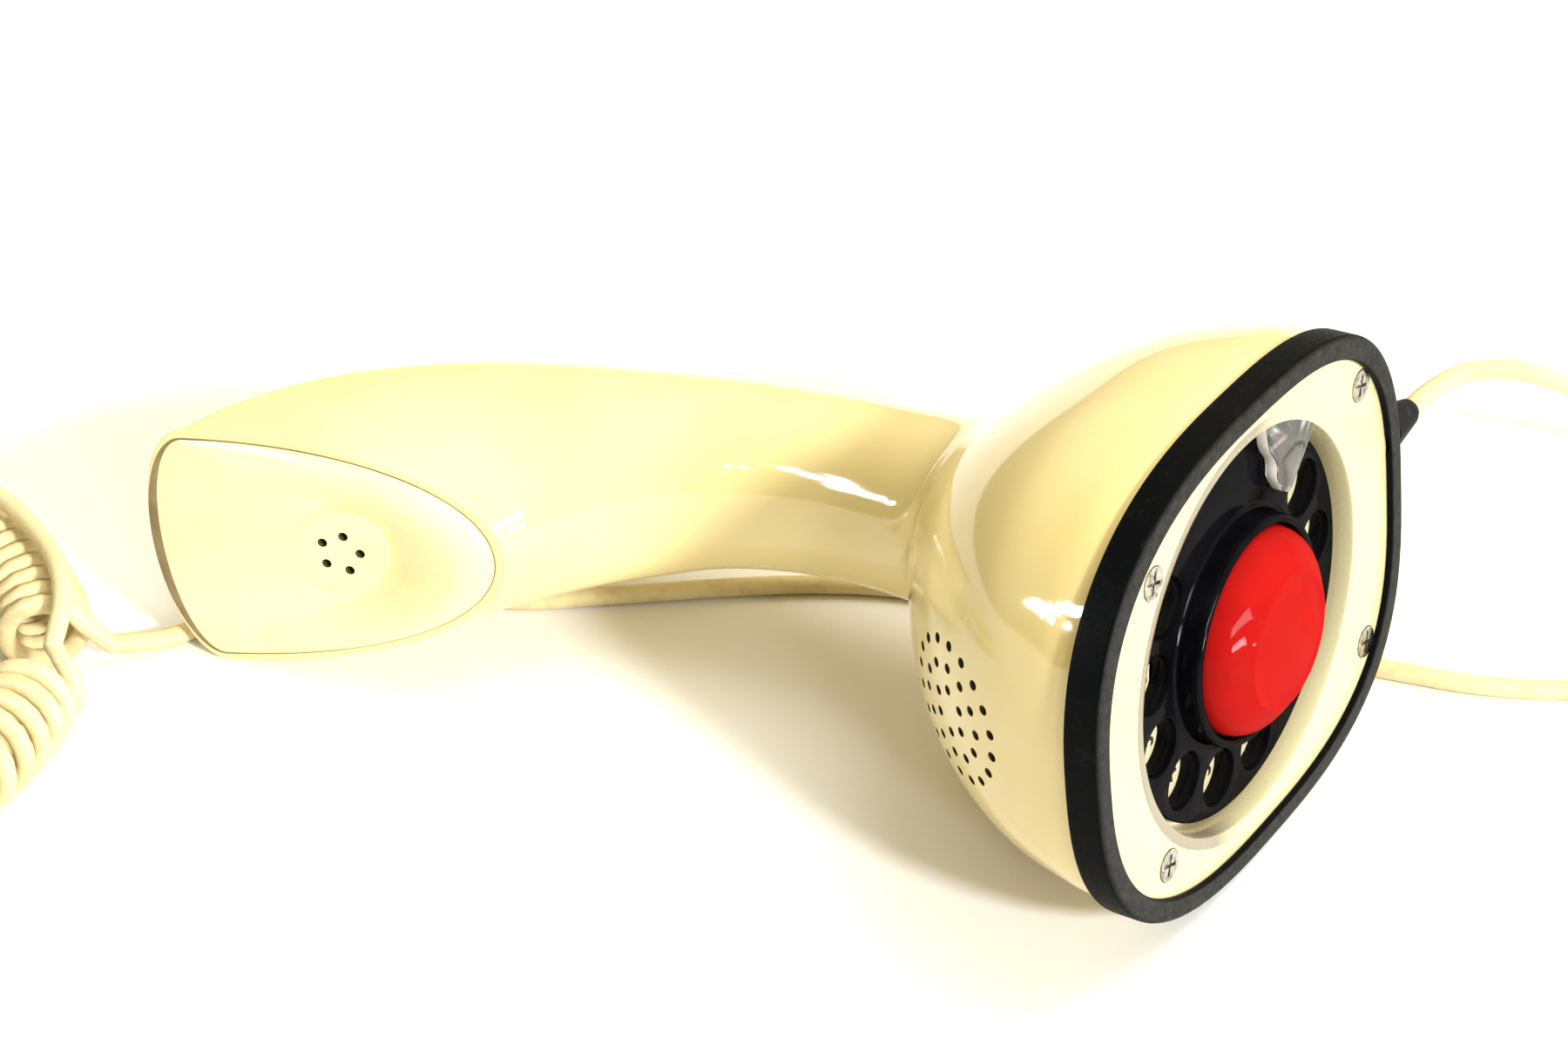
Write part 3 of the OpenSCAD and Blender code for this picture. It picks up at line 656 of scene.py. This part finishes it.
def make_ear_cap():
    back = [Vector((*oval(t, CAP_W - BACK_IN, CAP_TOP - BACK_SLOPE * CAP_T, CAP_LOW,
                          CAP_SQUARE, CAP_SQUARE), -CAP_T)) for t in turns()]
    rings = [back, cap_ring(0, -0.25)]
    rings += [cap_ring(CAP_RINGS_TO * (k / CAP_RINGS) ** CAP_BUNCH) for k in range(CAP_RINGS + 1)]
    rings += [cap_ring(s) for s in (DISC_FOOT, 0.99, 0.996, 1)]
    centre = Vector((0, EAR_DROP, 0))
    for shrink in (0.75, 0.5, 0.25, 0.08):
        rings.append([centre + (p - centre) * shrink for p in cap_ring(1)])
    cap = settle("ear_cap_moulding", loft(rings), "cap_cream", angle=50, place=LAY @ EAR)
    holes = [pin(EAR @ Matrix.Translation(centre)
                 @ Matrix.Rotation(math.radians(360 / EAR_HOLES * k + EAR_HOLE_TURN), 4, "Z")
                 @ Matrix.Translation((EAR_HOLE_RING, 0, 0)), EAR_HOLE_R, EAR_HOLE_FROM, EAR_HOLE_TO)
             for k in range(EAR_HOLES)]
    # The cut walls of the sound holes take painted shade.
    cap.data.materials.append(shop["hole_painted_shade"])
    carve(cap, cutter(merged(holes), 1), 50)
    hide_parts("ear_cap")


# Growth past the cap's edge and lift of the rings round the filled joint
SEAM_PROFILE = [(0.12, -0.9), (0.12, 0.02), (0.02, 0.06), (-0.4, 0.06), (-0.5, -0.02), (-0.5, -0.9)]
SEAM_EXTRA = 1.5  # how much wider the line is at the top


def make_cap_seam():
    """A dark line along the joint between cap and shell, broadest at the top: painted shade."""
    rings = []
    for grow, lift in SEAM_PROFILE:
        ring = []
        for t in turns():
            high = (1 + math.sin(t)) / 2
            reach = grow * (0.18 + 0.82 * high ** 0.8) if grow < 0 else grow + SEAM_EXTRA * high ** 3
            ring.append(Vector((*cap_outline(t, reach), lift)))
        rings.append(ring)
    settle("ear_cap_seam", loft(rings, closed=True), "seam_painted_shade",
           place=LAY @ EAR)


# ---------------------------------------------------------------- rubber ring
# Inset and z of the corners round the ring's section
RING_PROFILE = [(FOOT_INSET, FOOT_Z), (FOOT_INSET, RING_H), (0.15, RING_H), (0, 6.4), (0, 0.7),
                (0.8, 0), (4.1, 0), (4.4, 0.4), (4.4, 1.4), (3.8, 1.45), (3.8, FOOT_Z)]


def make_base_ring():
    rings = [outline(inset, z) for inset, z in rounded(RING_PROFILE, 0.7)]
    ring = settle("base_ring_moulding", loft(rings, closed=True), "ring_rubber", angle=50)
    carve(ring, cutter(inlet_pin()), 50)
    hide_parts("base_ring")


# ---------------------------------------------------------------- dial
GUIDE_R = 22.4
BEAD = 0.45  # height of the round rib beside the guide
WHEEL_R, WHEEL_Z, WHEEL_T = 38, 5.1, 3.8
SLEEVE_R = 24.3
GEAR_BACK = 15.4
FINGERS = 10
FINGER_R, FINGER_PITCH_R = 5.75, 30.3
FINGER_FIRST, FINGER_STEP = 142.5, 27.5
DIAL_AROUND = 192
WHEEL_ROUND = 0.45
HOLE_EDGE = 0.00035  # width of the round along the holes' edges, in metres


def finger_angle(k):
    """Where hole k stands, from the rear and turning towards +x."""
    return math.radians(FINGER_FIRST + FINGER_STEP * k)


def finger_place(k, dx=0.0, dy=0.0, z=0.0):
    """The middle of hole k, moved by dx and dy, at height z."""
    a = finger_angle(k)
    return Matrix.Translation((FINGER_PITCH_R * math.sin(a) + dx, FINGER_PITCH_R * math.cos(a) + dy, z))


def make_finger_wheel():
    back = WHEEL_Z + WHEEL_T
    bore = GUIDE_R + 0.05
    profile = rounded([
        (bore, GEAR_BACK, 1), (bore, WHEEL_Z - BEAD), (GUIDE_R + 0.8, WHEEL_Z - BEAD),
        (GUIDE_R + 1.3, WHEEL_Z), (WHEEL_R, WHEEL_Z), (WHEEL_R, back), (SLEEVE_R, back, 1),
        (SLEEVE_R, GEAR_BACK, 1)], WHEEL_ROUND)
    wheel = settle("finger_wheel_moulding", lathe(profile, DIAL_AROUND), "dial_black", "dial", angle=30)
    holes = [pin(finger_place(k), FINGER_R, WHEEL_Z - 1, back + 1, 64) for k in range(FINGERS)]
    carve(wheel, cutter(merged(holes)), 30)
    soften(wheel, HOLE_EDGE, 40, 30)
    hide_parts("finger_wheel")


STOP_OUTLINE = [(38.5, 8), (33.5, 8.8), (29.8, 11.5), (26.4, 11.2), (22.3, 13.6), (21.4, 15.4),
                (22.4, 17.2)]
STOP_R, STOP_FROM, STOP_TO = 39.9, 11.6, 40.4
STOP_ARC = 16
STOP_Z, STOP_T = 1.7, 2.8
# Height over the tongue's near face and inset of its rings
STOP_PROFILE = [(0, 0.3), (0.08, 0.08), (0.3, 0), (STOP_T - 0.3, 0), (STOP_T - 0.08, 0.08),
                (STOP_T, 0.3)]
STOP_WALL = 2  # the pair of rings that makes the tongue's upright wall
STOP_PLAIN = 8  # points at the end of the hooked side whose wall doesn't get the painted glow


def stop_end(degrees):
    a = math.radians(degrees)
    return STOP_R * math.cos(a), STOP_R * math.sin(a)


def make_finger_stop():
    """The clear tongue over the wheel: a hooked leading side, a straight back and a rounded end."""
    side = rounded([stop_end(STOP_FROM)] + STOP_OUTLINE + [stop_end(STOP_TO)], 2.2, 6)
    path = side + [stop_end(STOP_TO + (STOP_FROM - STOP_TO) * k / STOP_ARC)
                   for k in range(1, STOP_ARC)]
    rings = []
    for z, inset in STOP_PROFILE:
        ring = []
        for i, p in enumerate(path):
            way = (Vector(path[(i + 1) % len(path)]) - Vector(path[i - 1])).normalized()
            ring.append(Vector((p[0] + way.y * inset, p[1] - way.x * inset, STOP_Z + z)))
        rings.append(ring)
    stop = settle("finger_stop_tongue", loft(rings), "stop_clear", angle=40)
    # The hooked side's wall gets the painted glow.
    stop.data.materials.append(shop["edge_painted_glow"])
    wall = STOP_WALL * len(path)
    for face in stop.data.polygons[wall:wall + len(side) - STOP_PLAIN]:
        face.material_index = 1
    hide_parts("finger_stop")


LIP_PROFILE = [(42, 1.47), (41.2, 1.5), (40.3, 1.58), (39.8, 1.8), (39.6, 2.3), (39.6, 4.9),
               (41, 4.9), (42, 1.8)]


def make_well_lip():
    """The edge where the plate turns down into the dial's well, painted tan on its near side as painted
    shade.
    """
    settle("well_lip", lathe(LIP_PROFILE, DIAL_AROUND), "lip_painted_shade", angle=40)


DIGIT_H, DIGIT_WIDTH = 5.0, 0.8
FONT_RISE = 0.73  # height of a digit of size 1
DIGIT_T, DIGIT_BOLD = 0.02, 0.1
DIGIT_SHIFT = (-1.9, 2.15)  # from the hole's centre to where the main view's window shows the digit
DIGITS = "1234567890"
PLATE_Z = 9.3
PRINT_Z = PLATE_Z - 0.03


def make_digits():
    """Plain numbers printed on the plate. They face out of the base, with their tops to the front."""
    facing_out = Matrix.Diagonal((DIGIT_WIDTH, -1, -1, 1))
    for k, digit in enumerate(DIGITS):
        curve = bpy.data.curves.new("digit", "FONT")
        curve.body = digit
        curve.size = DIGIT_H / FONT_RISE
        curve.align_x = "CENTER"
        curve.align_y = "CENTER"
        curve.extrude = DIGIT_T
        curve.offset = DIGIT_BOLD
        holder = add_object("digit", curve)
        mesh = evaluated_mesh(holder)
        bpy.data.objects.remove(holder)
        mesh.transform(LAY @ finger_place(k, *DIGIT_SHIFT, PRINT_Z) @ facing_out)
        mesh.materials.clear()
        mesh.materials.append(shop["print_black"])
        mesh.name = name = f"digit_{digit}"
        piece = add_object(name, mesh)
        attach(piece, BODY)


# ---------------------------------------------------------------- button
BUTTON_FACE_R, BUTTON_OUT = 13.5, 6.1
BUTTON_R, BUTTON_INNER_R, BUTTON_BACK = 20.1, 18, 8.5
BUTTON_FLAT = 0.24  # depth of the flat face under the button's highest line
BUTTON_AROUND = 160
# Radius past the face's edge, and depth under the highest line: a shallow groove and a bead
# round the flat face
BEAD_PROFILE = [(-2, BUTTON_FLAT), (-1.6, 0.32), (-1.25, 0.26), (-0.9, 0.07), (-0.5, 0), (-0.1, 0.06),
                (0.15, 0.2)]
# Radius, and the same depth
FLANK_PROFILE = [(13.9, 0.38), (15.1, 1.16), (16.3, 1.95), (17.4, 2.78), (18.4, 3.72), (19.2, 4.85),
                 (19.75, 6.2), (BUTTON_R, 8.1)]
INSIDE_PROFILE = [(BUTTON_INNER_R, 6), (12, 2.5), (0, 2.5)]


def make_button():
    top = -BUTTON_OUT
    profile = [(0, top + BUTTON_FLAT)]
    profile += [(BUTTON_FACE_R + past, top + depth) for past, depth in BEAD_PROFILE]
    profile += [(r, top + depth) for r, depth in FLANK_PROFILE]
    profile += [(BUTTON_R, BUTTON_BACK), (BUTTON_INNER_R, BUTTON_BACK)]
    profile += [(r, top + depth) for r, depth in INSIDE_PROFILE]
    button = settle("hook_button_moulding", lathe(profile, BUTTON_AROUND), "button_red", "hook",
                    angle=60)
    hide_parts("hook_button")


def make_spring():
    """The spring behind the button, as its own piece."""
    node = frame["nodes"]["plunger_spring"]
    mesh = node.data.copy()
    mesh.transform(node.matrix_world)
    spring = add_object("plunger_spring_coil", mesh)
    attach(spring, BODY)
    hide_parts("plunger_spring")
    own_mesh(spring)


# Radius, z and whether the corner stays sharp
MOUTH_PROFILE = [(20.6, 2.2, 1), (20.6, 0.7), (21.1, 0.35), (21.8, 0.35), (22.35, 0.9), (22.35, 2.2, 1)]


def make_guide_mouth():
    """The full round on the mouth of the black collar that the button slides in."""
    settle("button_guide_mouth", lathe(rounded(MOUTH_PROFILE, 0.9, 6), BUTTON_AROUND), "dial_black",
           angle=40)


# ---------------------------------------------------------------- cord
CORD_D = 0.004
# The routes and the curls are in millimetres of the row frame, with the floor at z = 0
LEAD_ROUTE = [
    [98.1, 70.5, 58], [98.2, 77, 57.7], [98.6, 86, 56.4], [100, 98, 53], [103, 113, 45.5],
    [107, 128, 35], [112, 141, 24], [119, 152, 13], [129, 159, 5.4], [142, 160.5, 2.5],
    [155, 156, 2.05], [165, 146, 2.05], [170, 131, 2.05], [169, 115, 2.05], [163, 101, 2.05],
    [152, 88, 2.05], [138, 77, 2.05], [122, 68.5, 2.05], [105, 63, 2.05], [84, 57, 2.05],
    [61, 50, 2.05], [35, 40, 2.05], [8, 31, 2.05], [-14, 18, 2.05], [-42, -4.5, 2.05],
    [-55, -15, 2.05], [-63, -17.6, 2.05], [-71, -15, 2.05], [-80, -16, 2.05], [-90, -24.5, 2.05],
    [-98.5, -36, 2.05], [-104, -48.5, 2.05], [-106.6, -59, 2.1], [-110.5, -67, 2.6],
    [-115.5, -74.5, 4.4]]
TAIL_ROUTE = [
    [-114, -91, 16.5], [-118, -83, 21.5], [-128, -75, 22.6], [-142, -69, 22.6],
    [-156, -65, 21.5], [-169, -60, 15], [-182, -54, 7], [-195, -50, 3.4], [-206, -48, 3.3]]
CURL_CENTRE = Vector((-157, -120, 10))
CURL_RING_R = 49
CURL_D = 20
CURL_FROM, CURL_SWEEP = 46, 342
CURL_PITCH = 4.75
CURL_PHASE = math.radians(20)
PER_TURN = 16
ROUTE_STEPS = 4


def helix():
    """The curly part: turns wound round a ring that lies on the floor."""
    arc = math.radians(CURL_SWEEP) * CURL_RING_R
    turn_count = round(arc / CURL_PITCH)
    radius = CURL_D / 2 - CORD_D / MM / 2
    points = []
    for j in range(turn_count * PER_TURN + 1):
        share = j / (turn_count * PER_TURN)
        a = math.radians(CURL_FROM + CURL_SWEEP * share)
        b = 2 * math.pi * turn_count * share + CURL_PHASE
        out = Vector((math.cos(a), math.sin(a), 0))
        points.append(CURL_CENTRE + out * (CURL_RING_R + radius * math.cos(b))
                      + Vector((0, 0, radius * math.sin(b))))
    return points


def routed(route):
    """Points on the smooth curve through a route."""
    return [Vector(along(route, u / ROUTE_STEPS)) for u in range((len(route) - 1) * ROUTE_STEPS + 1)]


def make_cord():
    """The whole cord on one curve: the lead from its boot, the curls, and the tail to its plug."""
    points = [p * MM for p in routed(LEAD_ROUTE) + helix() + routed(TAIL_ROUTE)]
    curve = bpy.data.curves.new("cord", "CURVE")
    curve.dimensions = "3D"
    curve.bevel_depth = CORD_D / 2
    curve.bevel_resolution = 5
    curve.use_fill_caps = True
    line = curve.splines.new("POLY")
    line.points.add(len(points) - 1)
    for point, at in zip(line.points, points):
        point.co = (*at, 1)
    line.use_smooth = True
    curve.materials.append(shop["cord_ivory"])
    cord = add_object("curly_cord", curve)
    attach(cord, BODY)
    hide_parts("cord_lead", "cord_curl", "cord_tail")


# ---------------------------------------------------------------- carried-over nodes
# The nodes whose material isn't the one named after their slot in the record
NODE_MATERIALS = {
    "base_plate": "plate_cream_shaded", "base_screws": "screw_steel", "button_guide": "dial_black"}


def dress_nodes():
    """Gives every node that came with the frame its material."""
    slots = {part["node"]: part["material_slot"] for part in frame["record"]["subparts"]}
    for name, thing in frame["nodes"].items():
        finish = shop[NODE_MATERIALS.get(name, slots[name])]
        thing.data.materials.clear()
        thing.data.materials.append(finish)


# ---------------------------------------------------------------- floor and light
FLOOR_HALF = 3.0


def make_floor():
    m = Nodes("floor_pale")
    shade = m.spread(m.noise(0.2, 3), 0.3, 0.7)
    m.use(Base_Color=m.mix(shade, (0.84, 0.84, 0.82), (0.81, 0.808, 0.785)),
          Roughness=m.spread(m.noise(0.02, 4), 0.3, 0.7, 0.55, 0.7))
    m.bump(m.noise(0.0015, 4), 0.00004, 0.3)
    work = bmesh.new()
    bmesh.ops.create_grid(work, x_segments=8, y_segments=8, size=FLOOR_HALF)
    mesh = bpy.data.meshes.new("floor")
    work.to_mesh(mesh)
    work.free()
    mesh.materials.append(m.material)
    add_object("floor", mesh)


def way_to(azimuth, elevation):
    """The direction of a light, in degrees from +x towards +y and up from the floor."""
    a, e = math.radians(azimuth), math.radians(elevation)
    return Vector((math.cos(a) * math.cos(e), math.sin(a) * math.cos(e), math.sin(e)))


def facing_back(way):
    """The turn of a light that shines back along way."""
    return (-way).to_track_quat("-Z", "Y").to_euler()


def pane_light(name, azimuth, elevation, width, height, radiance, distance, aim):
    """A bright pane that shows in glossy and clear surfaces, and lights no other."""
    way = way_to(azimuth, elevation)
    data = bpy.data.lights.new(name, "AREA")
    data.shape = "RECTANGLE"
    data.size, data.size_y = width, height
    data.energy = radiance * math.pi * width * height
    pane = add_object(name, data)
    pane.location = Vector(aim) + way * distance
    pane.rotation_euler = facing_back(way)
    pane.visible_diffuse = False
    pane.visible_camera = False


def sun_light(name, azimuth, elevation, strength, angle, colour=(1, 1, 1)):
    """A far light that makes shade and shadows but no highlight."""
    data = bpy.data.lights.new(name, "SUN")
    data.energy = strength * math.pi
    data.angle = math.radians(angle)
    data.color = colour
    light = add_object(name, data)
    light.rotation_euler = facing_back(way_to(azimuth, elevation))
    light.visible_glossy = False


# Azimuth, elevation, width, height and radiance of each pane, its distance, and the point
# that it faces
FAR, NEAR = 1.5, 0.3
MIDDLE, BUTTON_AT, FLANK_AT = (0, 0, 0.04), (0.107, 0.004, 0.05), (0.087, -0.0398, 0.08)
PANES = [
    (-14, 21, 0.17, 0.05, 45, NEAR, BUTTON_AT), (-17, 4, 0.09, 0.03, 130, NEAR, BUTTON_AT),
    (-147, 13, 0.034, 0.028, 40, NEAR, FLANK_AT), (-143, 17, 0.034, 0.028, 40, NEAR, FLANK_AT),
    (-139, 21.5, 0.03, 0.026, 40, NEAR, FLANK_AT), (-135.5, 26, 0.03, 0.026, 40, NEAR, FLANK_AT),
    (-94, 31.5, 0.05, 0.06, 60, FAR, MIDDLE), (-99, 31.5, 0.05, 0.06, 60, FAR, MIDDLE),
    (-128, 31, 0.09, 0.16, 45, FAR, MIDDLE),
    (-137, 17, 0.20, 0.10, 40, FAR, MIDDLE), (-124, 21, 0.18, 0.11, 40, FAR, MIDDLE)]
# The sky is brightest towards SKY_WAY, and fades over these cosines from it
SKY_WAY = (0.2, 0.6, 0.775)
SKY_FADE = (-0.15, 1.0)
LOW_SKY, HIGH_SKY = 0.03, 1.3
SKY_COLOUR = (1.0, 0.89, 0.64, 1)


def make_sky():
    world = bpy.data.worlds.new("studio")
    world.use_nodes = True
    tree = world.node_tree
    place = tree.nodes.new("ShaderNodeTexCoord")
    along_way = tree.nodes.new("ShaderNodeVectorMath")
    along_way.operation = "DOT_PRODUCT"
    along_way.inputs[1].default_value = SKY_WAY
    rise = tree.nodes.new("ShaderNodeMapRange")
    rise.interpolation_type = "SMOOTHSTEP"
    limits = (*SKY_FADE, LOW_SKY, HIGH_SKY)
    for name, value in zip(("From Min", "From Max", "To Min", "To Max"), limits):
        rise.inputs[name].default_value = value
    tree.links.new(place.outputs["Generated"], along_way.inputs[0])
    tree.links.new(along_way.outputs["Value"], rise.inputs["Value"])
    tree.links.new(rise.outputs["Result"], tree.nodes["Background"].inputs["Strength"])
    tree.nodes["Background"].inputs["Color"].default_value = SKY_COLOUR
    bpy.context.scene.world = world


def make_light():
    make_sky()
    sun_light("key", -14, 30, 1.3, 7, (0.96, 0.98, 1.0))
    sun_light("second", -33, 24, 0.2, 7)
    sun_light("overhead", 60, 66, 0.5, 40)
    for k, pane in enumerate(PANES):
        pane_light(f"pane_{k}", *pane)
    bpy.context.scene.view_settings.view_transform = "Standard"


make_camera()
shop = make_materials()
make_cord()
dress_nodes()
make_shell()
make_ear_cap()
make_cap_seam()
make_base_ring()
make_finger_wheel()
make_digits()
make_button()
make_spring()
make_guide_mouth()
make_finger_stop()
make_well_lip()
make_floor()
make_light()
